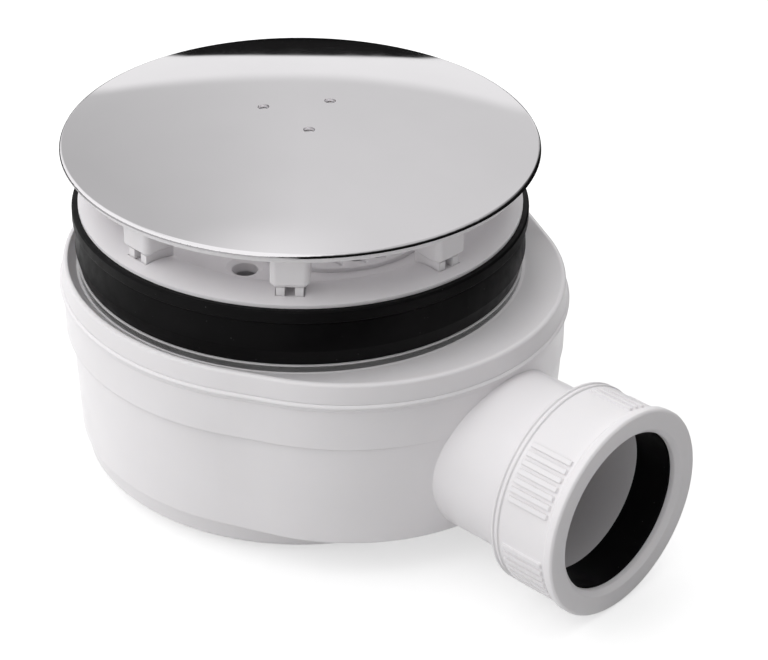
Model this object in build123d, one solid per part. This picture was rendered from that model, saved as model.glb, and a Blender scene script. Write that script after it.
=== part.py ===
from build123d import *
import math
import os

os.makedirs("parts", exist_ok=True)

# Heights of the stack, from the foot up
FLOOR_T = 2.6
FOOT_EDGE_H = 3.6
WALL_FOOT_H = 9.5
LOWER_WALL_H = 28.9
UPPER_WALL_H = 12.9
RIM_H = 5.2
RECESS_H = 2.7
SLIP_T = 1.9
LOWER_SEAL_T = 11.8
UPPER_SEAL_T = 3.4
WATER_GAP_H = 15.6

# Flange and neck, from the throat outwards
THROAT_R = 41.0
THROAT_DROP = 2.5
FLANGE_FALL_W = 6.2
FLANGE_FALL_DROP = 0.2
FLANGE_BROW_W = 4.8
FLANGE_BROW_H = 1.8
FLANGE_LIP_W = 4.1
FLANGE_EDGE_T = 0.9
NECK_WALL = 1.5
FLANGE_WEB = 3.0
NECK_LEDGE = 2.8
STRAINER_LEDGE_H = 3.2
DIP_LEDGE = 2.4
DIP_LEDGE_H = 5.6
THREAD_GAP = 0.2

# Cover disc
COVER_OVERHANG = 3.9
COVER_RISE = 7.25
COVER_EDGE_H = 0.85
COVER_EDGE_ROUND = 0.9
COVER_T = 0.8
COVER_HOLE_D = 2.9
COVER_HOLE_RING_R = 9.8
COVER_HOLE_TURN = 87.0
COVER_HOLES = 3

# Cover carrier
CARRIER_GAP = 0.25
CARRIER_T = 1.6
CARRIER_DROP = 1.6
CARRIER_W = 16.0
LEG_COUNT = 8
LEG_TURN = -47.6
LEG_INSET = 3.4
LEG_W = 9.5
LEG_T = 10.5
LEG_ROUND = 1.6
LEG_CHAMFER = 1.3
LEG_SHOULDER_H = 2.0
FOOT_W = 6.5
FOOT_T = 8.4
FOOT_SPLIT = 2.4
SOCKET_H = 0.7
SOCKET_GAP = 0.3

# Seals and slip ring
SEAL_GAP = 0.6
SEAL_EDGE = 0.4
UPPER_SEAL_OVER = 1.6
LOWER_SEAL_W = 14.2
LOWER_SEAL_TOP_IN = 0.5
LOWER_SEAL_FOOT_IN = 1.0
LOWER_SEAL_FOLD_H = 4.1
SLIP_W = 13.6
SLIP_GAP = 0.6

# Body plan: two circles on the outlet line and their common tangents
PLAN_BACK_X = 2.2
PLAN_SHIFT = 13.5
PLAN_TAPER = 6.2
RIM_LAND = 5.2
RIM_FLAT = 1.7
RIM_LEAN = 0.6
RIM_ROUND = 0.8
RIM_WALL = 2.6
RECESS_SHIFT = 0.6
WALL = 2.4
PLATE_T = 2.4
COLLAR_WALL = 4.5
COLLAR_H = 5.1
SEAM_LIP = 0.6
SEAM_LIP_H = 1.4
SEAM_LIP_EDGE = 0.5
SEAM_STEP = 0.05
SEAM_STEP_H = 0.8
SEAM_STEP_EDGE = 0.3
UPPER_TOP_IN = 0.3
UPPER_FOOT_IN = 0.5
LOWER_TOP_IN = 2.0
LOWER_FOOT_IN = 3.5
LOWER_FOOT_EDGE = 0.7
UPPER_NOSE = 0.3
FOOT_NOSE = 1.8
FOOT_IN = 6.3
FOOT_FLARE = 1.2
FOOT_ROLL_W = 7.2
HOLLOW_ROLL = 1.5
WELD = 0.2

# Water seal parts
STRAINER_GAP = 0.2
STRAINER_T = STRAINER_LEDGE_H
STRAINER_HOLE_D = 6.4
STRAINER_SINK_D = 9.2
STRAINER_SINK_H = 0.8
STRAINER_HOLE_IN = 6.6
STRAINER_HOLES = 4
STRAINER_HOLE_TURN = -68.0
STRAINER_WEB = 0.8
CROWN_X = 11.5
CROWN_Y = 2.0
CROWN_R = 22.5
CROWN_H = 2.6
CROWN_WALL = 1.8
CROWN_EDGE = 0.8
CROWN_SLOTS = 7
CROWN_SLOT_W = 3.0
CROWN_SLOT_PITCH = 5.2
CROWN_SLOT_END = 1.5
DIP_LIP_T = 2.2
DIP_LIP_W = 4.0
DIP_SEAL_T = 1.8
DIP_SEAL_W = 1.9
DIP_IN = 9.8
DIP_WALL = 2.0
DIP_FUNNEL_H = 6.0
DIP_GUIDE_H = 1.0
DIP_END_H = 9.4
CUP_WALL = 2.0
CUP_WAY = 6.8
CUP_H = 35.4
CUP_RING_GAP = 0.3
CUP_RING_W = 1.6
CUP_RING_H = 3.0

# Outlet and nut, from the pipe outwards
PIPE_R = 20.0
PIPE_GAP = 0.3
SPIGOT_WALL = 1.3
SPIGOT_TOP_GAP = 1.4
SPIGOT_REACH = 24.0
BORE_IN = 0.9
SOCKET_L = 25.0
THREAD_RISE = 1.0
THREAD_L = 6.8
NUT_WALL = 2.8
NUT_BACK_L = 7.0
NUT_LIP_T = 2.6
NUT_FLARE = 1.2
NUT_FLARE_T = 2.4
NUT_HOLE_GAP = 0.5
NUT_HOLE_CHAMFER = 1.2
NUT_EDGE = 0.5
NUT_FLARE_RUN = 0.8
NUT_FLARE_STEP = 0.2
BEAD_COUNT = 2
BEAD_START = 0.3
BEAD_H = 0.4
BEAD_W = 0.7
BEAD_PITCH = 1.4
RIB_GROUPS = 6
RIBS = 7
RIB_ANGLE = 5.1
RIB_TURN = 24.4
RIB_W = 1.3
RIB_H = 0.6
RIB_START = 3.7
RIB_END = 1.6
PAD_FROM_ANGLE = 82.0
PAD_TO_ANGLE = 100.4
OUT_SEAL_L = 10.0
OUT_SEAL_GAP = 0.2

# Levels that follow from the stack
LEDGE_Z = WALL_FOOT_H + LOWER_WALL_H
SEAM_Z = LEDGE_Z + UPPER_WALL_H
RIM_TOP_Z = SEAM_Z + RIM_H
SLIP_Z = RIM_TOP_Z - RECESS_H
LOWER_SEAL_Z = SLIP_Z + SLIP_T
UPPER_SEAL_Z = LOWER_SEAL_Z + LOWER_SEAL_T
FLANGE_Z = UPPER_SEAL_Z + UPPER_SEAL_T
BROW_Z = FLANGE_Z + FLANGE_BROW_H
THROAT_Z = FLANGE_Z - THROAT_DROP
STRAINER_SEAT_Z = THROAT_Z - STRAINER_LEDGE_H
DIP_SEAT_Z = STRAINER_SEAT_Z - DIP_LEDGE_H
COLLAR_Z = SEAM_Z - COLLAR_H
LEG_FOOT_Z = BROW_Z - SOCKET_H
LEG_SHOULDER_Z = BROW_Z + LEG_SHOULDER_H
COVER_EDGE_Z = FLANGE_Z + WATER_GAP_H
CARRIER_LOW_Z = COVER_EDGE_Z - CARRIER_DROP
COVER_CROWN_Z = COVER_EDGE_Z + COVER_EDGE_H + COVER_RISE
SEAM_LIP_Z = SEAM_Z - SEAM_LIP_H
SEAM_STEP_Z = SEAM_LIP_Z - SEAM_STEP_H

# Radii that follow from the throat and the pipe
FALL_R = THROAT_R + FLANGE_FALL_W
BROW_R = FALL_R + FLANGE_BROW_W
FLANGE_R = BROW_R + FLANGE_LIP_W
COVER_R = FLANGE_R + COVER_OVERHANG
COVER_BALL_R = (COVER_R ** 2 + COVER_RISE ** 2) / (2 * COVER_RISE)
COVER_BALL_Z = COVER_CROWN_Z - COVER_BALL_R
LEG_RING_R = BROW_R - LEG_INSET
NECK_R = THROAT_R + NECK_WALL
NECK_IN_R = THROAT_R - NECK_LEDGE
DIP_SEAT_R = NECK_IN_R - DIP_LEDGE
DIP_R = DIP_SEAT_R - DIP_IN
CUP_R = DIP_R + CUP_WAY + CUP_WALL
SEAL_IN_R = NECK_R + SEAL_GAP
UPPER_SEAL_R = FLANGE_R + UPPER_SEAL_OVER
LOWER_SEAL_R = SEAL_IN_R + LOWER_SEAL_W
SLIP_R = SEAL_IN_R + SLIP_W
RECESS_R = SLIP_R + SLIP_GAP
COLLAR_R = NECK_R + THREAD_GAP + COLLAR_WALL
PLAN_BACK_R = RECESS_R + RIM_LAND
PLAN_FRONT_X = PLAN_BACK_X + PLAN_SHIFT
PLAN_FRONT_R = PLAN_BACK_R - PLAN_TAPER
LEDGE_NOSE = LOWER_TOP_IN - UPPER_FOOT_IN + UPPER_NOSE
FOOT_R = PLAN_BACK_R - FOOT_IN
FOOT_TOP_R = FOOT_R + FOOT_FLARE
SOCKET_R = PIPE_R + PIPE_GAP
BORE_R = SOCKET_R - BORE_IN
SPIGOT_R = SOCKET_R + SPIGOT_WALL
THREAD_R = SPIGOT_R + THREAD_RISE
NUT_R = THREAD_R + THREAD_GAP + NUT_WALL
NUT_FLARE_R = NUT_R + NUT_FLARE
NUT_HOLE_R = PIPE_R + NUT_HOLE_GAP

# Places along the outlet
OUTLET_Z = SEAM_LIP_Z - SPIGOT_TOP_GAP - SPIGOT_R
SPIGOT_END_X = PLAN_FRONT_X + PLAN_FRONT_R + SPIGOT_REACH
SOCKET_X = SPIGOT_END_X - SOCKET_L
THREAD_X = SPIGOT_END_X - THREAD_L
NUT_BACK_X = SPIGOT_END_X - NUT_BACK_L
NUT_LIP_X = SPIGOT_END_X + OUT_SEAL_L
NUT_FACE_X = NUT_LIP_X + NUT_LIP_T
FLARE_X = NUT_FACE_X - NUT_FLARE_T
RIB_X = NUT_BACK_X + RIB_START
RIB_L = FLARE_X - RIB_END - RIB_X


# Round piece turned about the upright axis from its half section
def turned(points):
    section = Plane.XZ * make_face(Polyline(*points, close=True))
    return revolve(section, Axis.Z)


# Round bar along the outlet, from one distance to another
def along_outlet(radius, x_from, x_to):
    start = Plane((x_from, 0, OUTLET_Z), x_dir=(0, 1, 0), z_dir=(1, 0, 0))
    return extrude(start * Circle(radius), x_to - x_from)


# Upright bar from one level to another
def upright(radius, z_from, z_to, x=0.0, y=0.0):
    return extrude(Pos(x, y, z_from) * Circle(radius), z_to - z_from)


# Closed outline round two circles on the outlet line
def egg(level, back_x, back_r, front_x, front_r):
    swing = math.acos((back_r - front_r) / (front_x - back_x))

    def at(centre, radius, angle):
        return (centre + radius * math.cos(angle), radius * math.sin(angle), level)

    edges = [
        Line(at(back_x, back_r, -swing), at(front_x, front_r, -swing)),
        ThreePointArc(at(front_x, front_r, -swing), at(front_x, front_r, 0), at(front_x, front_r, swing)),
        Line(at(front_x, front_r, swing), at(back_x, back_r, swing)),
        ThreePointArc(at(back_x, back_r, swing), at(back_x, back_r, math.pi), at(back_x, back_r, -swing)),
    ]
    return make_face(edges)


# Body plan at one level, grown all round and drawn out a little more towards the outlet
def plan(level, grow, nose=0.0):
    return egg(level, PLAN_BACK_X, PLAN_BACK_R + grow, PLAN_FRONT_X + nose, PLAN_FRONT_R + grow)


# Drum between two levels of the body plan, each level with its own growth
def drum(z_low, grow_low, z_high, grow_high, nose_low=0.0, nose_high=0.0):
    return loft([plan(z_low, grow_low, nose_low), plan(z_high, grow_high, nose_high)])


# Edges round the top or the bottom face of a solid
def end_edges(solid, end):
    return solid.faces().sort_by(Axis.Z)[end].edges()


# Solid with the edges of its top or bottom face taken off at a slant
def eased(solid, end, width):
    return chamfer(end_edges(solid, end), width)


# Level of the cover's dome at one radius, some way under its outside
def dome_level(radius, depth):
    return COVER_BALL_Z + math.sqrt((COVER_BALL_R - depth) ** 2 - radius ** 2)


# Half of the dome's section, from the middle out to one radius
def dome_arc(radius, depth):
    spots = [(r, dome_level(r, depth)) for r in (0, radius / 2, radius)]
    return ThreePointArc(*spots)


# Pressed metal disc with a turned-down edge and three holes
def cover_dome():
    def layer(radius, depth):
        corner = (radius, dome_level(radius, depth))
        side = Polyline(corner, (radius, COVER_EDGE_Z), (0, COVER_EDGE_Z), (0, dome_level(0, depth)))
        return revolve(Plane.XZ * make_face([dome_arc(radius, depth), side]), Axis.Z)

    outside = layer(COVER_R, 0)
    shoulder = outside.edges().filter_by(lambda edge: edge.is_closed).sort_by(Axis.Z)[-1]
    disc = fillet(shoulder, COVER_EDGE_ROUND) - layer(COVER_R - COVER_T, COVER_T)
    for spot in PolarLocations(COVER_HOLE_RING_R, COVER_HOLES, COVER_HOLE_TURN):
        disc -= spot * upright(COVER_HOLE_D / 2, COVER_EDGE_Z, COVER_CROWN_Z)
    return disc


# White domed plate under the disc, with a thick rim and stepped legs
def cover_carrier():
    out_r = COVER_R - COVER_T - CARRIER_GAP
    rim_r = out_r - CARRIER_W
    top = COVER_T + CARRIER_GAP
    under = top + CARRIER_T
    rim = Polyline(
        (out_r, dome_level(out_r, top)),
        (out_r, CARRIER_LOW_Z),
        (rim_r, CARRIER_LOW_Z),
        (rim_r, dome_level(rim_r, under)),
    )
    middle = Line((0, dome_level(0, under)), (0, dome_level(0, top)))
    section = make_face([dome_arc(out_r, top), rim, dome_arc(rim_r, under), middle])
    plate = revolve(Plane.XZ * section, Axis.Z)
    leg_plan = RectangleRounded(LEG_T, LEG_W, LEG_ROUND)
    foot_plan = Rectangle(FOOT_T, FOOT_W)
    foot_h = LEG_SHOULDER_Z - LEG_FOOT_Z
    leg = extrude(Pos(0, 0, LEG_SHOULDER_Z) * leg_plan, CARRIER_LOW_Z - LEG_SHOULDER_Z)
    leg = chamfer(leg.faces().sort_by(Axis.Z)[0].edges(), LEG_CHAMFER)
    foot = extrude(Pos(0, 0, LEG_FOOT_Z) * foot_plan, foot_h)
    split = Pos(0, 0, LEG_FOOT_Z + foot_h / 2) * Box(LEG_T, FOOT_SPLIT, foot_h)
    whole = leg + (foot - split)
    return plate + [spot * whole for spot in PolarLocations(LEG_RING_R, LEG_COUNT, LEG_TURN)]


# Dished flange with its neck, and shallow sockets for the cover's feet
def flange():
    edge_z = FLANGE_Z + FLANGE_EDGE_T
    fall = (FALL_R, BROW_Z - FLANGE_FALL_DROP)
    brow = ThreePointArc((FLANGE_R, edge_z), (BROW_R, BROW_Z), fall)
    dish = TangentArc(fall, (THROAT_R, THROAT_Z), tangent=brow % 1)
    rest = Polyline(
        (THROAT_R, THROAT_Z),
        (THROAT_R, STRAINER_SEAT_Z),
        (NECK_IN_R, STRAINER_SEAT_Z),
        (NECK_IN_R, DIP_SEAT_Z),
        (DIP_SEAT_R, DIP_SEAT_Z),
        (DIP_SEAT_R, COLLAR_Z),
        (NECK_R, COLLAR_Z),
        (NECK_R, UPPER_SEAL_Z),
        (NECK_R + FLANGE_WEB, FLANGE_Z),
        (FLANGE_R, FLANGE_Z),
        (FLANGE_R, edge_z),
    )
    top = revolve(Plane.XZ * make_face([brow, dish, rest]), Axis.Z)
    socket_plan = Rectangle(FOOT_T + 2 * SOCKET_GAP, FOOT_W + 2 * SOCKET_GAP)
    socket = extrude(Pos(0, 0, LEG_FOOT_Z) * socket_plan, 2 * SOCKET_H)
    return top - [spot * socket for spot in PolarLocations(LEG_RING_R, LEG_COUNT, LEG_TURN)]


# Flat seal with slanted outer edges
def upper_seal():
    bore_r = SEAL_IN_R + FLANGE_WEB
    return turned([
        (bore_r, UPPER_SEAL_Z),
        (UPPER_SEAL_R - SEAL_EDGE, UPPER_SEAL_Z),
        (UPPER_SEAL_R, UPPER_SEAL_Z + SEAL_EDGE),
        (UPPER_SEAL_R, FLANGE_Z - SEAL_EDGE),
        (UPPER_SEAL_R - SEAL_EDGE, FLANGE_Z),
        (bore_r, FLANGE_Z),
    ])


# Thick seal whose side folds outwards, with a slanted upper edge
def lower_seal():
    top_r = LOWER_SEAL_R - LOWER_SEAL_TOP_IN
    return turned([
        (SEAL_IN_R, LOWER_SEAL_Z),
        (LOWER_SEAL_R - LOWER_SEAL_FOOT_IN, LOWER_SEAL_Z),
        (LOWER_SEAL_R, LOWER_SEAL_Z + LOWER_SEAL_FOLD_H),
        (top_r, UPPER_SEAL_Z - SEAL_EDGE),
        (top_r - SEAL_EDGE, UPPER_SEAL_Z),
        (SEAL_IN_R, UPPER_SEAL_Z),
    ])


def slip_ring():
    return turned([
        (SEAL_IN_R, SLIP_Z),
        (SLIP_R, SLIP_Z),
        (SLIP_R, LOWER_SEAL_Z),
        (SEAL_IN_R, LOWER_SEAL_Z),
    ])


# Top plate: rim band round the body plan, dished top, recess for the slip ring and threaded collar
def body_top():
    band = drum(SEAM_Z, 0, RIM_TOP_Z, -RIM_LEAN)
    band = fillet(end_edges(band, -1), RIM_ROUND)
    recess_taper = RECESS_SHIFT * PLAN_TAPER / PLAN_SHIFT
    band -= loft([
        egg(SLIP_Z, 0, RECESS_R, RECESS_SHIFT, RECESS_R - recess_taper),
        plan(RIM_TOP_Z, -RIM_FLAT),
    ])
    band += upright(COLLAR_R, COLLAR_Z, SLIP_Z - PLATE_T + WELD)
    return band - upright(NECK_R + THREAD_GAP, FLOOR_T, SLIP_Z)


# Body: stepped drum, seam lip, round foot, ring for the cup and the outlet spigot
def body_shell():
    flat_r = FOOT_R - FOOT_ROLL_W
    body = drum(WALL_FOOT_H, -LOWER_FOOT_IN, LEDGE_Z, -LOWER_TOP_IN, FOOT_NOSE, LEDGE_NOSE)
    body = eased(body, 0, LOWER_FOOT_EDGE)
    body += drum(LEDGE_Z, -UPPER_FOOT_IN, SEAM_LIP_Z, -UPPER_TOP_IN, UPPER_NOSE)
    body += eased(drum(SEAM_STEP_Z, SEAM_STEP, SEAM_LIP_Z, SEAM_STEP), 0, SEAM_STEP_EDGE)
    lip = eased(drum(SEAM_LIP_Z, SEAM_LIP, SEAM_Z, SEAM_LIP), 0, SEAM_LIP_EDGE)
    body += eased(lip, -1, SEAM_LIP_EDGE)
    roll = TangentArc((flat_r, 0), (FOOT_R, FOOT_EDGE_H), tangent=(1, 0))
    side = Polyline((FOOT_R, FOOT_EDGE_H), (FOOT_TOP_R, WALL_FOOT_H), (0, WALL_FOOT_H), (0, 0), (flat_r, 0))
    body += revolve(Plane.XZ * make_face([roll, side]), Axis.Z)
    body += along_outlet(SPIGOT_R, PLAN_FRONT_X, SPIGOT_END_X)
    body += along_outlet(THREAD_R, THREAD_X, SPIGOT_END_X)
    step_z = LEDGE_Z - WALL
    low_z = WALL_FOOT_H + WALL
    step_in = LOWER_TOP_IN + WALL
    hollow = drum(low_z, -LOWER_FOOT_IN - WALL, step_z, -step_in, FOOT_NOSE, LEDGE_NOSE)
    hollow += drum(step_z, -step_in, SEAM_Z, -RIM_WALL, LEDGE_NOSE)
    hollow += turned([
        (0, FLOOR_T),
        (FOOT_R - WALL - HOLLOW_ROLL, FLOOR_T),
        (FOOT_R - WALL, FOOT_EDGE_H + HOLLOW_ROLL),
        (FOOT_TOP_R - WALL, low_z),
        (0, low_z),
    ])
    body -= hollow
    ring_in = CUP_R + CUP_RING_GAP
    ring_out = ring_in + CUP_RING_W
    ring_z = FLOOR_T + CUP_RING_H
    body += upright(ring_out, FLOOR_T, ring_z) - upright(ring_in, FLOOR_T, ring_z)
    body -= along_outlet(BORE_R, ring_out + CUP_RING_W, SOCKET_X)
    return body - along_outlet(SOCKET_R, SOCKET_X, SPIGOT_END_X)


# Insert in the throat: disc with countersunk drain holes and a raised slotted round
def strainer():
    disc_r = THROAT_R - STRAINER_GAP
    hole_r = STRAINER_HOLE_D / 2
    sink_r = STRAINER_SINK_D / 2
    top_z = STRAINER_SEAT_Z + STRAINER_T
    crown_z = top_z + CROWN_H
    inside_r = CROWN_R - CROWN_WALL
    disc = upright(disc_r, STRAINER_SEAT_Z, top_z)
    disc += eased(upright(CROWN_R, top_z, crown_z, CROWN_X, CROWN_Y), -1, CROWN_EDGE)
    disc -= upright(inside_r, STRAINER_SEAT_Z, crown_z - CROWN_WALL, CROWN_X, CROWN_Y)
    middle = (CROWN_SLOTS - 1) / 2
    for number in range(CROWN_SLOTS):
        offset = (number - middle) * CROWN_SLOT_PITCH
        reach = 2 * math.sqrt(inside_r ** 2 - offset ** 2) - 2 * CROWN_SLOT_END
        slot = extrude(SlotOverall(reach, CROWN_SLOT_W), 2 * CROWN_WALL)
        disc -= Pos(CROWN_X, CROWN_Y + offset, crown_z - 1.5 * CROWN_WALL) * slot
    for spot in PolarLocations(THROAT_R - STRAINER_HOLE_IN, STRAINER_HOLES, STRAINER_HOLE_TURN):
        from_crown = spot.position - Vector(CROWN_X, CROWN_Y, 0)
        if from_crown.length > CROWN_R + sink_r + STRAINER_WEB:
            disc -= spot * upright(hole_r, STRAINER_SEAT_Z, top_z)
            sink = Cone(hole_r, sink_r, STRAINER_SINK_H)
            disc -= spot * Pos(0, 0, top_z - STRAINER_SINK_H / 2) * sink
    return disc


def dip_tube():
    lip_z = DIP_SEAT_Z + DIP_SEAL_T
    lip_r = NECK_IN_R - STRAINER_GAP
    guide_r = DIP_SEAT_R - STRAINER_GAP
    guide_z = DIP_SEAT_Z - DIP_GUIDE_H
    funnel_z = DIP_SEAT_Z - DIP_FUNNEL_H
    end_z = FLOOR_T + DIP_END_H
    return turned([
        (DIP_R - DIP_WALL, end_z),
        (DIP_R, end_z),
        (DIP_R, funnel_z - DIP_GUIDE_H),
        (guide_r, guide_z),
        (guide_r, lip_z),
        (lip_r, lip_z),
        (lip_r, lip_z + DIP_LIP_T),
        (lip_r - DIP_LIP_W, lip_z + DIP_LIP_T),
        (DIP_R - DIP_WALL, funnel_z),
    ])


def dip_tube_seal():
    out_r = NECK_IN_R - STRAINER_GAP
    return turned([
        (out_r - DIP_SEAL_W, DIP_SEAT_Z),
        (out_r, DIP_SEAT_Z),
        (out_r, DIP_SEAT_Z + DIP_SEAL_T),
        (out_r - DIP_SEAL_W, DIP_SEAT_Z + DIP_SEAL_T),
    ])


def trap_cup():
    top_z = FLOOR_T + CUP_H
    return turned([
        (0, FLOOR_T),
        (CUP_R, FLOOR_T),
        (CUP_R, top_z),
        (CUP_R - CUP_WALL, top_z),
        (CUP_R - CUP_WALL, FLOOR_T + CUP_WALL),
        (0, FLOOR_T + CUP_WALL),
    ])


# Compression nut: barrel, flared mouth, two beads and groups of grip ribs
def outlet_nut():
    axis_line = Axis((0, 0, OUTLET_Z), (1, 0, 0))
    thread_r = THREAD_R + THREAD_GAP
    section = Plane.XZ * make_face(Polyline(
        (NUT_BACK_X, OUTLET_Z + thread_r),
        (NUT_BACK_X, OUTLET_Z + NUT_R - NUT_EDGE),
        (NUT_BACK_X + NUT_EDGE, OUTLET_Z + NUT_R),
        (FLARE_X - NUT_FLARE_RUN, OUTLET_Z + NUT_R),
        (FLARE_X, OUTLET_Z + NUT_FLARE_R - NUT_FLARE_STEP),
        (FLARE_X + NUT_FLARE_STEP, OUTLET_Z + NUT_FLARE_R),
        (NUT_FACE_X - NUT_EDGE, OUTLET_Z + NUT_FLARE_R),
        (NUT_FACE_X, OUTLET_Z + NUT_FLARE_R - NUT_EDGE),
        (NUT_FACE_X, OUTLET_Z + NUT_HOLE_R + NUT_HOLE_CHAMFER),
        (NUT_FACE_X - NUT_HOLE_CHAMFER, OUTLET_Z + NUT_HOLE_R),
        (NUT_LIP_X, OUTLET_Z + NUT_HOLE_R),
        (NUT_LIP_X, OUTLET_Z + thread_r),
        close=True,
    ))
    nut = revolve(section, axis_line)
    for number in range(BEAD_COUNT):
        start = NUT_BACK_X + BEAD_START + number * BEAD_PITCH
        bead = along_outlet(NUT_R + BEAD_H, start, start + BEAD_W)
        nut += bead - along_outlet(NUT_R - BEAD_H, start, start + BEAD_W)
    end = Plane((RIB_X, 0, OUTLET_Z), x_dir=(0, 1, 0), z_dir=(1, 0, 0))
    pad_half = (PAD_TO_ANGLE - PAD_FROM_ANGLE) / 2
    pad_reach = NUT_FLARE_R * math.cos(math.radians(pad_half))
    pad = Circle(NUT_R + RIB_H) - Circle(NUT_R - RIB_H)
    pad -= Pos(pad_reach - 2 * NUT_FLARE_R, 0) * Rectangle(4 * NUT_FLARE_R, 4 * NUT_FLARE_R)
    blocks = [Rot(0, 0, PAD_FROM_ANGLE + pad_half) * pad]
    for group in range(RIB_GROUPS):
        first = RIB_TURN + group * 360 / RIB_GROUPS - (RIBS - 1) / 2 * RIB_ANGLE
        for number in range(RIBS):
            angle = first + number * RIB_ANGLE
            if not PAD_FROM_ANGLE - 1 < angle < PAD_TO_ANGLE:
                blocks.append(Rot(0, 0, angle) * Pos(NUT_R, 0) * Rectangle(2 * RIB_H, RIB_W))
    return nut + [extrude(end * block, RIB_L) for block in blocks]


def outlet_seal():
    axis_line = Axis((0, 0, OUTLET_Z), (1, 0, 0))
    out_r = THREAD_R - OUT_SEAL_GAP
    section = Plane.XZ * make_face(Polyline(
        (SPIGOT_END_X, OUTLET_Z + SOCKET_R),
        (SPIGOT_END_X, OUTLET_Z + out_r),
        (NUT_LIP_X, OUTLET_Z + out_r),
        (NUT_LIP_X, OUTLET_Z + SOCKET_R),
        close=True,
    ))
    return revolve(section, axis_line)


export_step(cover_dome(), "parts/cover_dome.step")
export_step(cover_carrier(), "parts/cover_carrier.step")
export_step(strainer(), "parts/strainer.step")
export_step(flange(), "parts/flange.step")
export_step(upper_seal(), "parts/upper_seal.step")
export_step(lower_seal(), "parts/lower_seal.step")
export_step(slip_ring(), "parts/slip_ring.step")
export_step(body_top(), "parts/body_top.step")
export_step(body_shell(), "parts/body_shell.step")
export_step(dip_tube(), "parts/dip_tube.step")
export_step(dip_tube_seal(), "parts/dip_tube_seal.step")
export_step(trap_cup(), "parts/trap_cup.step")
export_step(outlet_nut(), "parts/outlet_nut.step")
export_step(outlet_seal(), "parts/outlet_seal.step")
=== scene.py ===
import math

import bmesh
import bpy
from mathutils import Matrix, Vector


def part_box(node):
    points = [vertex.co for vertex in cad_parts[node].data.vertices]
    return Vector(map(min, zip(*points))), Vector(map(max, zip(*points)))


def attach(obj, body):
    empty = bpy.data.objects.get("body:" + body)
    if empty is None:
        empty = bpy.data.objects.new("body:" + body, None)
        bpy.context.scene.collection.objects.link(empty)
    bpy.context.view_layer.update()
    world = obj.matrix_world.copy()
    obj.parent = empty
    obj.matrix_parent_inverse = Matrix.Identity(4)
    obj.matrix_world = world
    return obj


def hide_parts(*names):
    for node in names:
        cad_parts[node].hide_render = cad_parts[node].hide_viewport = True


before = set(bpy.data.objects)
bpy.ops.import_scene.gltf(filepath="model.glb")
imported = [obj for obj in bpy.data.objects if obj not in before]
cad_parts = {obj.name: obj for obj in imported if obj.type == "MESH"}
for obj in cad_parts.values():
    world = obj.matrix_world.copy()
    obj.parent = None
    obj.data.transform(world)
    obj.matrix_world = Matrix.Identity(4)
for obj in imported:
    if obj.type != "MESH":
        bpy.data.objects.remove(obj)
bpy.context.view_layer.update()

MM = 0.001

# Viewpoint of the photograph, in the part's own frame
IMAGE_W = 768
FOCAL_PX = 2536.0
SENSOR_W = 36.0
CLIP_NEAR = 0.02
CLIP_FAR = 50.0
VIEW_TURN = math.radians(45.25)
VIEW_RISE = math.radians(29.42)
VIEW_DISTANCE = 650.7 * MM
VIEW_TARGET = Vector((0.0, 0.0, 53.8 * MM))
VIEW_PAN = 0.0327
VIEW_TILT = -0.0296

# Level directions as seen from there, and the way up
TO_RIGHT = Vector((math.cos(VIEW_TURN), math.sin(VIEW_TURN), 0.0))
TO_BACK = Vector((-math.sin(VIEW_TURN), math.cos(VIEW_TURN), 0.0))
UP = Vector((0.0, 0.0, 1.0))


def link(thing):
    bpy.context.scene.collection.objects.link(thing)
    return thing


def turn_pair(first, second, angle):
    """Two square directions turned in their own plane."""
    cosine = math.cos(angle)
    sine = math.sin(angle)
    return first * cosine - second * sine, first * sine + second * cosine


def make_camera():
    """Camera where the photograph was taken from."""
    out = UP * math.sin(VIEW_RISE) - TO_BACK * math.cos(VIEW_RISE)
    up = TO_RIGHT.cross(-out)
    right, forward = turn_pair(TO_RIGHT, -out, VIEW_PAN)
    up, forward = turn_pair(up, forward, VIEW_TILT)
    data = bpy.data.cameras.new("view")
    data.sensor_width = SENSOR_W
    data.lens = FOCAL_PX * SENSOR_W / IMAGE_W
    data.clip_start = CLIP_NEAR
    data.clip_end = CLIP_FAR
    camera = link(bpy.data.objects.new("view", data))
    turn = Matrix((right, up, -forward)).transposed()
    camera.matrix_world = Matrix.Translation(VIEW_TARGET + out * VIEW_DISTANCE) @ turn.to_4x4()
    bpy.context.scene.camera = camera


# Sockets of a mix node by place, because they share their names
MIX_NUMBERS = slice(2, 4)
MIX_COLOURS = slice(6, 8)
MIXED_NUMBER = 0
MIXED_COLOUR = 2

# Range that holds most of what a noise node gives, and the quality of softened edges
NOISE_LOW = 0.3
NOISE_HIGH = 0.7
EDGE_SAMPLES = 6


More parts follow.
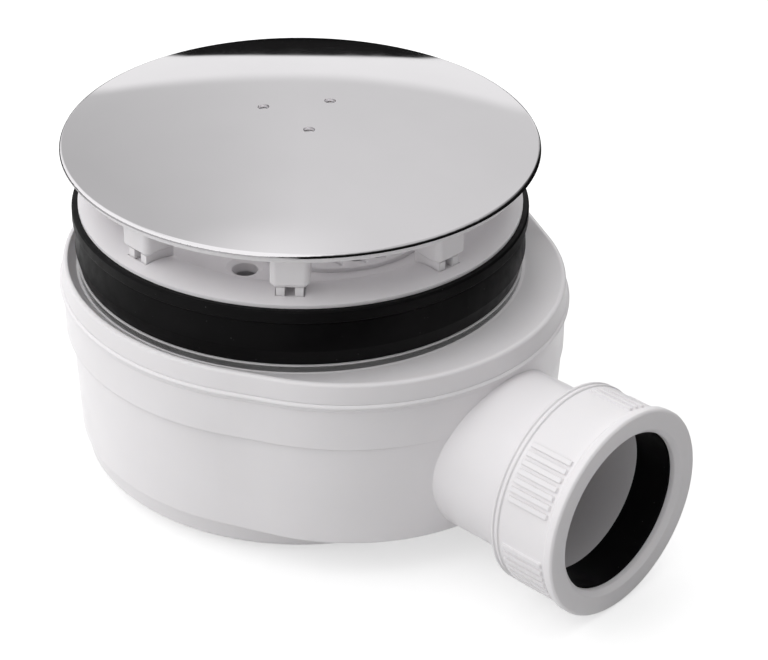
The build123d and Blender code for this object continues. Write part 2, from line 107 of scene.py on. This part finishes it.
# Small helpers for node trees
class Nodes:
    def __init__(self, tree):
        self.tree = tree
        tree.nodes.clear()

    def add(self, kind, **settings):
        node = self.tree.nodes.new(kind)
        for name, value in settings.items():
            setattr(node, name, value)
        return node

    def feed(self, socket, source):
        """A socket gets a link or a plain value."""
        if isinstance(source, bpy.types.NodeSocket):
            self.tree.links.new(source, socket)
        else:
            socket.default_value = source

    def calc(self, operation, *sources):
        node = self.add("ShaderNodeMath", operation=operation)
        for socket, source in zip(node.inputs, sources):
            self.feed(socket, source)
        return node.outputs[0]

    def plus(self, first, second):
        return self.calc("ADD", first, second)

    def times(self, first, second):
        return self.calc("MULTIPLY", first, second)

    def larger(self, first, second):
        return self.calc("MAXIMUM", first, second)

    def smaller(self, first, second):
        return self.calc("MINIMUM", first, second)

    def square(self, source):
        return self.calc("POWER", source, 2.0)

    def along(self, vector, direction):
        node = self.add("ShaderNodeVectorMath", operation="DOT_PRODUCT")
        self.feed(node.inputs[0], vector)
        node.inputs[1].default_value = direction
        return node.outputs["Value"]

    def length(self, vector):
        node = self.add("ShaderNodeVectorMath", operation="LENGTH")
        self.feed(node.inputs[0], vector)
        return node.outputs["Value"]

    def spread(self, source, low, high, to_low=0.0, to_high=1.0, kind="LINEAR"):
        """Change from to_low at low to to_high at high."""
        node = self.add("ShaderNodeMapRange", interpolation_type=kind)
        for socket, value in zip(node.inputs, (source, low, high, to_low, to_high)):
            self.feed(socket, value)
        return node.outputs["Result"]

    def step(self, source, low, high):
        """Soft change from nought at low to one at high."""
        return self.spread(source, low, high, kind="SMOOTHSTEP")

    def noise(self, vector, scale, detail, roughness=0.5):
        node = self.add("ShaderNodeTexNoise")
        self.feed(node.inputs["Vector"], vector)
        node.inputs["Scale"].default_value = scale
        node.inputs["Detail"].default_value = detail
        node.inputs["Roughness"].default_value = roughness
        return node.outputs["Fac"]

    def patches(self, vector, scale, detail, to_low=0.0, to_high=1.0, roughness=0.5):
        """Value that drifts over a surface between to_low and to_high."""
        source = self.noise(vector, scale, detail, roughness)
        return self.spread(source, NOISE_LOW, NOISE_HIGH, to_low, to_high)

    def blend(self, factor, first, second):
        """Colour between two others."""
        node = self.add("ShaderNodeMix", data_type="RGBA")
        self.feed(node.inputs["Factor"], factor)
        for socket, colour in zip(node.inputs[MIX_COLOURS], (first, second)):
            self.feed(socket, (*colour, 1.0) if isinstance(colour, tuple) else colour)
        return node.outputs[MIXED_COLOUR]

    def mix(self, factor, first, second):
        """Number between two others."""
        node = self.add("ShaderNodeMix", data_type="FLOAT")
        self.feed(node.inputs["Factor"], factor)
        for socket, source in zip(node.inputs[MIX_NUMBERS], (first, second)):
            self.feed(socket, source)
        return node.outputs[MIXED_NUMBER]

    def bumps(self, normal, vector, scale, detail, strength, height):
        """A normal made uneven by noise."""
        node = self.add("ShaderNodeBump")
        node.inputs["Strength"].default_value = strength
        node.inputs["Distance"].default_value = height
        self.feed(node.inputs["Height"], self.noise(vector, scale, detail))
        self.feed(node.inputs["Normal"], normal)
        return node.outputs["Normal"]

    def soft_edge(self, radius):
        node = self.add("ShaderNodeBevel", samples=EDGE_SAMPLES)
        node.inputs["Radius"].default_value = radius
        return node.outputs["Normal"]


# Colours of the materials
WHITE_LIGHT = (0.86, 0.84, 0.855)
WHITE_DARK = (0.835, 0.816, 0.83)
RUBBER_DARK = (0.002, 0.0018, 0.0021)
RUBBER_BLOOM = (0.0045, 0.0042, 0.0047)
DUST_GREY = (0.16, 0.16, 0.16)
STEEL_DARK = (0.755, 0.738, 0.755)
STEEL_LIGHT = (0.785, 0.768, 0.785)
CLEAR_DARK = (0.7, 0.69, 0.7)
CLEAR_LIGHT = (0.8, 0.79, 0.8)

# How the materials take light
WHITE_IOR = 1.49
WHITE_DEPTH_SHARE = 0.08
WHITE_DEPTH = (2.2 * MM, 2.0 * MM, 1.8 * MM)
RUBBER_SHINE = 0.1
CLEAR_IOR = 1.5
CLEAR_THROUGH = 0.85
# Clearness of the slip ring at its painted top-edge highlight
CLEAR_HIGHLIGHT_THROUGH = 0.15

# Softened edges of the materials
WHITE_EDGE = 0.35 * MM
CRISP_EDGE = 0.05 * MM
RUBBER_EDGE = 0.4 * MM
CLEAR_EDGE = 0.3 * MM

# Cells of the rubber's dust in a metre
DUST_SCALE = 700.0

# Painted highlight along the slip ring's top edge, where it is less clear and so shows white, down from its
# top
SLIP_TOP = max(corner[2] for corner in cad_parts["slip_ring"].bound_box)
SLIP_HIGHLIGHT_FADE = (SLIP_TOP - 0.5 * MM, SLIP_TOP - 0.3 * MM)


def start_material(name):
    material = bpy.data.materials.new(name)
    material.use_nodes = True
    nodes = Nodes(material.node_tree)
    out = nodes.add("ShaderNodeOutputMaterial")
    shader = nodes.add("ShaderNodeBsdfPrincipled")
    nodes.feed(out.inputs["Surface"], shader.outputs["BSDF"])
    place = nodes.add("ShaderNodeTexCoord").outputs["Object"]
    return material, nodes, shader.inputs, place


def white_plastic(name, edge_round):
    """Moulded plastic: faint clouding, sink marks and a fine grain."""
    material, nodes, shader, place = start_material(name)
    cloud = nodes.spread(nodes.noise(place, scale=38.0, detail=4.0), low=0.35, high=0.65)
    nodes.feed(shader["Base Color"], nodes.blend(cloud, WHITE_DARK, WHITE_LIGHT))
    haze = nodes.patches(place, scale=160.0, detail=5.0, to_low=0.3, to_high=0.42)
    nodes.feed(shader["Roughness"], haze)
    edge = nodes.soft_edge(edge_round)
    sink = nodes.bumps(edge, place, scale=60.0, detail=2.0, strength=0.2, height=0.3 * MM)
    grain = nodes.bumps(sink, place, scale=5200.0, detail=2.0, strength=0.05, height=0.06 * MM)
    nodes.feed(shader["Normal"], grain)
    shader["IOR"].default_value = WHITE_IOR
    shader["Subsurface Weight"].default_value = WHITE_DEPTH_SHARE
    shader["Subsurface Radius"].default_value = WHITE_DEPTH
    shader["Subsurface Scale"].default_value = 1.0
    return material


def dust_specks(nodes, place):
    """Specks in the middle of some of the cells of a fine cell pattern."""
    cells = nodes.add("ShaderNodeTexVoronoi")
    nodes.feed(cells.inputs["Vector"], place)
    cells.inputs["Scale"].default_value = DUST_SCALE
    speck = nodes.spread(cells.outputs["Distance"], low=0.05, high=0.11, to_low=0.5, to_high=0.0)
    chosen = nodes.step(nodes.noise(place, scale=DUST_SCALE, detail=1.0), low=0.56, high=0.66)
    return nodes.times(speck, chosen)


def black_rubber(name):
    """Matt rubber with a dull bloom, ripples from the mould and specks of dust."""
    material, nodes, shader, place = start_material(name)
    bloom = nodes.spread(nodes.noise(place, scale=55.0, detail=5.0, roughness=0.6), low=0.45, high=0.75)
    rubber = nodes.blend(bloom, RUBBER_DARK, RUBBER_BLOOM)
    nodes.feed(shader["Base Color"], nodes.blend(dust_specks(nodes, place), rubber, DUST_GREY))
    wear = nodes.patches(place, scale=240.0, detail=4.0, to_low=0.36, to_high=0.5)
    nodes.feed(shader["Roughness"], wear)
    edge = nodes.soft_edge(RUBBER_EDGE)
    ripple = nodes.bumps(edge, place, scale=170.0, detail=3.0, strength=0.25, height=0.25 * MM)
    grain = nodes.bumps(ripple, place, scale=3500.0, detail=2.0, strength=0.12, height=0.05 * MM)
    nodes.feed(shader["Normal"], grain)
    shader["Specular IOR Level"].default_value = RUBBER_SHINE
    return material


def polished_steel(name):
    """Pressed steel disc with faint wipe marks."""
    material, nodes, shader, place = start_material(name)
    smear = nodes.patches(place, scale=26.0, detail=4.0, roughness=0.55)
    nodes.feed(shader["Base Color"], nodes.blend(smear, STEEL_DARK, STEEL_LIGHT))
    wipe = nodes.patches(place, scale=95.0, detail=5.0, to_low=0.03, to_high=0.065)
    nodes.feed(shader["Roughness"], wipe)
    shader["Metallic"].default_value = 1.0
    return material


def clear_plastic(name):
    """Clear slip ring, slightly hazed, with a painted highlight along its top edge, where it is less clear
    and so shows white.
    """
    material, nodes, shader, place = start_material(name)
    cloud = nodes.patches(place, scale=70.0, detail=4.0)
    nodes.feed(shader["Base Color"], nodes.blend(cloud, CLEAR_DARK, CLEAR_LIGHT))
    haze = nodes.patches(place, scale=300.0, detail=3.0, to_low=0.08, to_high=0.2)
    nodes.feed(shader["Roughness"], haze)
    nodes.feed(shader["Normal"], nodes.soft_edge(CLEAR_EDGE))
    # Painted highlight: the top edge is made less clear, so it shows as a white line
    painted_edge_highlight = nodes.step(nodes.along(place, UP), *SLIP_HIGHLIGHT_FADE)
    nodes.feed(shader["Transmission Weight"], nodes.mix(painted_edge_highlight, CLEAR_THROUGH, CLEAR_HIGHLIGHT_THROUGH))
    shader["IOR"].default_value = CLEAR_IOR
    return material


WHITE = white_plastic("white_moulded_plastic", WHITE_EDGE)
CRISP_WHITE = white_plastic("white_crisp_plastic", CRISP_EDGE)
RUBBER = black_rubber("black_moulded_rubber")
STEEL = polished_steel("polished_steel")
CLEAR = clear_plastic("clear_film_plastic")

# Finish of each node
FINISH = {
    "cover_dome": STEEL,
    "cover_carrier": WHITE,
    "strainer": WHITE,
    "flange": CRISP_WHITE,
    "upper_seal": RUBBER,
    "lower_seal": RUBBER,
    "slip_ring": CLEAR,
    "body_top": WHITE,
    "body_shell": WHITE,
    "dip_tube": WHITE,
    "dip_tube_seal": RUBBER,
    "trap_cup": WHITE,
    "outlet_nut": WHITE,
    "outlet_seal": RUBBER,
}
for node, material in FINISH.items():
    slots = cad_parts[node].data.materials
    slots.clear()
    slots.append(material)

# Points of a mesh that are closer than this are one
SAME_POINT = 0.001 * MM

# Rounded edges of the outlet nut
NUT_ROUND = 0.4 * MM
NUT_ROUND_STEPS = 3
ROUND_FROM_ANGLE = math.radians(40.0)
SHADING_WEIGHT = 50


def round_edges(node, width, segments):
    """Rounds the edges of a moulded piece, whose mesh comes with its faces apart."""
    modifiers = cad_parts[node].modifiers
    modifiers.new("join_faces", "WELD").merge_threshold = SAME_POINT
    bevel = modifiers.new("round", "BEVEL")
    bevel.width = width
    bevel.segments = segments
    bevel.limit_method = "ANGLE"
    bevel.angle_limit = ROUND_FROM_ANGLE
    modifiers.new("even_shading", "WEIGHTED_NORMAL").weight = SHADING_WEIGHT


# Strainer as photographed: the solid's disc and holes under a lower, wider crown with slots
STRAINER_T = 3.2 * MM
ABOVE_DISC = 0.01 * MM
CROWN_AT = Vector((10.8, -0.8, 0.0)) * MM
CROWN_R = 26.2 * MM
CROWN_T = 1.2 * MM
CROWN_EDGE = 0.2 * MM
CROWN_EDGE_STEPS = 2
CROWN_STEPS = 128
CROWN_SLOTS = 7
CROWN_SLOT_W = 3.0 * MM
CROWN_SLOT_PITCH = 5.2 * MM
CROWN_SLOT_END = 1.1 * MM
SLOT_END_STEPS = 12
SHARP_FROM_ANGLE = math.radians(20.0)
QUARTER = math.pi / 2


def arc(x, y, radius, first, last, steps):
    """Points along a level arc."""
    turns = [first + (last - first) * number / steps for number in range(steps + 1)]
    return [(x + radius * math.cos(turn), y + radius * math.sin(turn)) for turn in turns]


def crown_outlines():
    """Edge of the crown and of each slot, drawn in by the round that is added to them."""
    outlines = [arc(0.0, 0.0, CROWN_R - CROWN_EDGE, 0.0, math.tau, CROWN_STEPS)[:-1]]
    slot_r = CROWN_SLOT_W / 2 + CROWN_EDGE
    for number in range(CROWN_SLOTS):
        offset = (number - (CROWN_SLOTS - 1) / 2) * CROWN_SLOT_PITCH
        reach = math.sqrt((CROWN_R - CROWN_SLOT_END) ** 2 - offset ** 2) - slot_r
        right_end = arc(reach, offset, slot_r, -QUARTER, QUARTER, SLOT_END_STEPS)
        left_end = arc(-reach, offset, slot_r, QUARTER, 3 * QUARTER, SLOT_END_STEPS)
        outlines.append(right_end + left_end)
    return outlines


def crown_mesh(level):
    """Crown on a level, sunk into it by the round of its edge."""
    curve = bpy.data.curves.new("crown", "CURVE")
    curve.dimensions = "2D"
    curve.fill_mode = "BOTH"
    curve.extrude = CROWN_T / 2 - CROWN_EDGE
    curve.bevel_depth = CROWN_EDGE
    curve.bevel_resolution = CROWN_EDGE_STEPS
    for outline in crown_outlines():
        spline = curve.splines.new("POLY")
        spline.points.add(len(outline) - 1)
        for point, (x, y) in zip(spline.points, outline):
            point.co = (x, y, 0.0, 1.0)
        spline.use_cyclic_u = True
    holder = bpy.data.objects.new("crown", curve)
    mesh = bpy.data.meshes.new_from_object(holder)
    bpy.data.objects.remove(holder)
    mesh.transform(Matrix.Translation(CROWN_AT + UP * (level + CROWN_T / 2 - CROWN_EDGE)))
    return mesh


def strainer_shape():
    """The solid's disc, closed where its crown was, with the other crown on it."""
    disc_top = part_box("strainer")[0][2] + STRAINER_T
    shape = bmesh.new()
    shape.from_mesh(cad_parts["strainer"].data)
    bmesh.ops.remove_doubles(shape, verts=shape.verts, dist=SAME_POINT)
    crown = [corner for corner in shape.verts if corner.co.z > disc_top + ABOVE_DISC]
    bmesh.ops.delete(shape, geom=crown, context="VERTS")
    bmesh.ops.bridge_loops(shape, edges=[edge for edge in shape.edges if edge.is_boundary])
    shape.from_mesh(crown_mesh(disc_top))
    bmesh.ops.remove_doubles(shape, verts=shape.verts, dist=SAME_POINT)
    for face in shape.faces:
        face.smooth = True
        face.material_index = 0
    return shape


def make_strainer():
    shape = strainer_shape()
    mesh = bpy.data.meshes.new("strainer_plate")
    shape.to_mesh(mesh)
    shape.free()
    # The normals stored with the solid don't suit the new faces
    if "custom_normal" in mesh.attributes:
        mesh.attributes.remove(mesh.attributes["custom_normal"])
    mesh.set_sharp_from_angle(angle=SHARP_FROM_ANGLE)
    mesh.materials.append(FINISH["strainer"])
    piece = link(bpy.data.objects.new("strainer_plate", mesh))
    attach(piece, "root")
    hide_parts("strainer")


# White floor, whose far and front right parts are grey or dark in mirrors alone
FLOOR_REACH = 8.0
FLOOR_LEVEL = -0.2 * MM
FLOOR_COLOUR = 0.62
FLOOR_GLOW = 0.55
GREY_FLOOR = 0.5
DARK_FLOOR = 0.006
FAR_FADE = (140.0 * MM, 160.0 * MM)
BESIDE_RIGHT_FADE = (60.0 * MM, 90.0 * MM)
BESIDE_FRONT_FADE = (0.0, -40.0 * MM)
DARK_TO_RIGHT_FADE = (-40.0 * MM, 0.0)
DARK_TO_BACK_FADE = (150.0 * MM, 250.0 * MM)


def kinds_of_ray(nodes):
    """Two signals: rays from the camera, mirrors or clear parts, and those from mirrors alone."""
    path = nodes.add("ShaderNodeLightPath").outputs
    mirrored = path["Is Glossy Ray"]
    direct = nodes.larger(nodes.larger(path["Is Camera Ray"], mirrored), path["Is Transmission Ray"])
    return direct, mirrored


def white_floor_shader(nodes, direct):
    """Matt white that also glows where it is looked at, so that it shows as plain white."""
    matt = nodes.add("ShaderNodeBsdfDiffuse")
    matt.inputs["Color"].default_value = (FLOOR_COLOUR, FLOOR_COLOUR, FLOOR_COLOUR, 1.0)
    glow = nodes.add("ShaderNodeEmission")
    nodes.feed(glow.inputs["Strength"], nodes.times(direct, FLOOR_GLOW))
    white = nodes.add("ShaderNodeAddShader")
    nodes.feed(white.inputs[0], matt.outputs[0])
    nodes.feed(white.inputs[1], glow.outputs[0])
    return white.outputs[0]


def floor_material():
    material = bpy.data.materials.new("floor")
    material.use_nodes = True
    nodes = Nodes(material.node_tree)
    direct, mirrored = kinds_of_ray(nodes)
    place = nodes.add("ShaderNodeNewGeometry").outputs["Position"]
    right = nodes.along(place, TO_RIGHT)
    back = nodes.along(place, TO_BACK)
    far = nodes.step(nodes.length(place), *FAR_FADE)
    beside = nodes.times(nodes.step(right, *BESIDE_RIGHT_FADE), nodes.step(back, *BESIDE_FRONT_FADE))
    darkness = nodes.larger(nodes.step(right, *DARK_TO_RIGHT_FADE), nodes.step(back, *DARK_TO_BACK_FADE))
    dark = nodes.add("ShaderNodeEmission")
    nodes.feed(dark.inputs["Strength"], nodes.mix(darkness, GREY_FLOOR, DARK_FLOOR))
    pick = nodes.add("ShaderNodeMixShader")
    nodes.feed(pick.inputs[0], nodes.times(nodes.larger(far, beside), mirrored))
    nodes.feed(pick.inputs[1], white_floor_shader(nodes, direct))
    nodes.feed(pick.inputs[2], dark.outputs[0])
    out = nodes.add("ShaderNodeOutputMaterial")
    nodes.feed(out.inputs["Surface"], pick.outputs[0])
    return material


def make_floor():
    mesh = bpy.data.meshes.new("floor")
    sides = [(-1, -1), (1, -1), (1, 1), (-1, 1)]
    corners = [(x * FLOOR_REACH, y * FLOOR_REACH, FLOOR_LEVEL) for x, y in sides]
    mesh.from_pydata(corners, [], [(0, 1, 2, 3)])
    mesh.materials.append(floor_material())
    link(bpy.data.objects.new("floor", mesh))


# Skyline that the metal mirrors: a dark hill, a bright band over it and grey above
LEAST_DEPTH = 0.05
LEAST_ACROSS = -0.35
MOST_HEIGHT = 1.5
HILL_TOP = 0.122
HILL_CURVE = 5.2
HILL_TILT = 0.06
HILL_EDGE = 0.012
HILL_LIGHT = 0.012
BAND_FADE = (0.235, 0.315)
BAND_CURVE = 1.7
BAND_LIGHT = 0.98
GREY_HEIGHTS = (0.3, 1.5)
GREY_LIGHTS = (0.74, 0.82)
GREY_LEFT_FALL = 0.55

# White parts of the mirrored studio: overhead, in front and to the left
WHITE_STUDIO_LIGHT = 1.15
OVER_RISE_FADE = (0.75, 0.9)
OVER_LEFT_FADE = (0.12, -0.05)
FRONT_FADE = (-0.05, -0.25)
FRONT_LEFT_FADE = (0.25, 0.05)
LEFT_FADE = (-0.35, -0.6)

# Dark part of the mirrored studio: in front and to the right, under a slope that climbs to the right
DARK_RISE = 0.45
DARK_CLIMB = 1.5
DARK_EDGE = 0.06
DARK_FRONT_FADE = (0.35, 0.15)
DARK_RIGHT_FADE = (0.35, 0.55)
DARK_LIGHT = 0.006
DARK_TOP_LIGHT = 0.6
DARK_TOP_FADE = (0.32, 0.85)


def mirrored_skyline(nodes, toward_right, toward_back, rise):
    depth = nodes.larger(toward_back, LEAST_DEPTH)
    across = nodes.larger(nodes.calc("DIVIDE", toward_right, depth), LEAST_ACROSS)
    leftward = nodes.smaller(across, 0.0)
    height = nodes.smaller(nodes.calc("DIVIDE", rise, depth), MOST_HEIGHT)
    even_grey = nodes.spread(height, *GREY_HEIGHTS, *GREY_LIGHTS)
    grey = nodes.plus(even_grey, nodes.times(leftward, GREY_LEFT_FALL))
    over_band = nodes.plus(height, nodes.times(nodes.square(leftward), BAND_CURVE))
    band = nodes.mix(nodes.step(over_band, *BAND_FADE), BAND_LIGHT, grey)
    curved = nodes.plus(height, nodes.times(nodes.square(across), HILL_CURVE))
    over_hill = nodes.calc("SUBTRACT", curved, nodes.times(across, HILL_TILT))
    above = nodes.step(over_hill, HILL_TOP - HILL_EDGE, HILL_TOP + HILL_EDGE)
    return nodes.mix(above, HILL_LIGHT, band)


def mirrored_studio(nodes, toward_right, toward_back, rise):
    """Strength of the studio as a mirror shows it."""
    skyline = mirrored_skyline(nodes, toward_right, toward_back, rise)
    overhead = nodes.times(nodes.step(rise, *OVER_RISE_FADE), nodes.spread(toward_right, *OVER_LEFT_FADE))
    front = nodes.times(nodes.step(toward_back, *FRONT_FADE), nodes.spread(toward_right, *FRONT_LEFT_FADE))
    left = nodes.spread(toward_right, *LEFT_FADE)
    white = nodes.larger(nodes.larger(overhead, front), left)
    lit = nodes.mix(white, skyline, WHITE_STUDIO_LIGHT)
    slope = nodes.plus(nodes.times(toward_right, DARK_CLIMB), DARK_RISE)
    under = nodes.step(nodes.calc("SUBTRACT", slope, rise), -DARK_EDGE, DARK_EDGE)
    in_front = nodes.spread(toward_back, *DARK_FRONT_FADE)
    aside = nodes.larger(in_front, nodes.spread(toward_right, *DARK_RIGHT_FADE))
    shade = nodes.mix(nodes.step(rise, *DARK_TOP_FADE), DARK_LIGHT, DARK_TOP_LIGHT)
    return nodes.mix(nodes.times(under, aside), lit, shade)


# Light on the object itself, as soft lobes: way to the right, back and up, sharpness, strength
SKY_EVEN = 0.02
SKY_LOBES = [
    (-1.0, 0.0, 0.0, 1.0, 0.95),
    (0.0, 1.0, 0.0, 1.0, 0.95),
    (0.0, 0.0, 1.0, 1.0, 0.11),
    (0.0, 0.0, 1.0, 4.0, 1.15),
    (0.7, 0.7, 0.2, 3.0, 0.41),
    (-0.7, -0.7, 0.2, 3.0, 0.55),
]


def sky_light(nodes, ray):
    sky = SKY_EVEN
    for right, back, up, sharpness, strength in SKY_LOBES:
        way = (TO_RIGHT * right + TO_BACK * back + UP * up).normalized()
        lobe = nodes.calc("POWER", nodes.larger(nodes.along(ray, way), 0.0), sharpness)
        sky = nodes.calc("MULTIPLY_ADD", lobe, strength, sky)
    return sky


def make_world():
    """White to the camera and through clear parts, the studio to mirrors, and lobes of light to the rest."""
    world = bpy.data.worlds.new("studio")
    bpy.context.scene.world = world
    world.use_nodes = True
    nodes = Nodes(world.node_tree)
    ray = nodes.add("ShaderNodeTexCoord").outputs["Generated"]
    toward_right = nodes.along(ray, TO_RIGHT)
    toward_back = nodes.along(ray, TO_BACK)
    rise = nodes.along(ray, UP)
    direct, mirrored = kinds_of_ray(nodes)
    view = nodes.mix(mirrored, 1.0, mirrored_studio(nodes, toward_right, toward_back, rise))
    lamp = nodes.add("ShaderNodeBackground")
    lamp.inputs["Color"].default_value = (1.0, 1.0, 1.0, 1.0)
    nodes.feed(lamp.inputs["Strength"], nodes.mix(direct, sky_light(nodes, ray), view))
    out = nodes.add("ShaderNodeOutputWorld")
    nodes.feed(out.inputs["Surface"], lamp.outputs[0])


# Lamps: a large one high on the left and a faint one under the cover
KEY_PLACE = VIEW_TARGET - TO_RIGHT * 0.95 - TO_BACK * 0.35 + UP * 0.95
KEY_SIZE = 0.9
KEY_WATTS = 2.2
FILL_PLACE = UP * (84.3 * MM)
FILL_SIZE = 76.0 * MM
FILL_WATTS = 0.0045


def soft_light(name, place, size, watts):
    """Round lamp that faces the object and is itself seen by neither camera nor mirrors."""
    data = bpy.data.lights.new(name, "AREA")
    data.shape = "DISK"
    data.size = size
    data.energy = watts
    light = link(bpy.data.objects.new(name, data))
    light.visible_camera = False
    light.visible_glossy = False
    light.location = place
    light.rotation_mode = "QUATERNION"
    light.rotation_quaternion = (VIEW_TARGET - place).to_track_quat("-Z", "Y")


round_edges("outlet_nut", NUT_ROUND, NUT_ROUND_STEPS)
make_strainer()
make_camera()
make_floor()
make_world()
soft_light("key", KEY_PLACE, KEY_SIZE, KEY_WATTS)
soft_light("fill_under_cover", FILL_PLACE, FILL_SIZE, FILL_WATTS)

bpy.context.scene.view_settings.view_transform = "Standard"
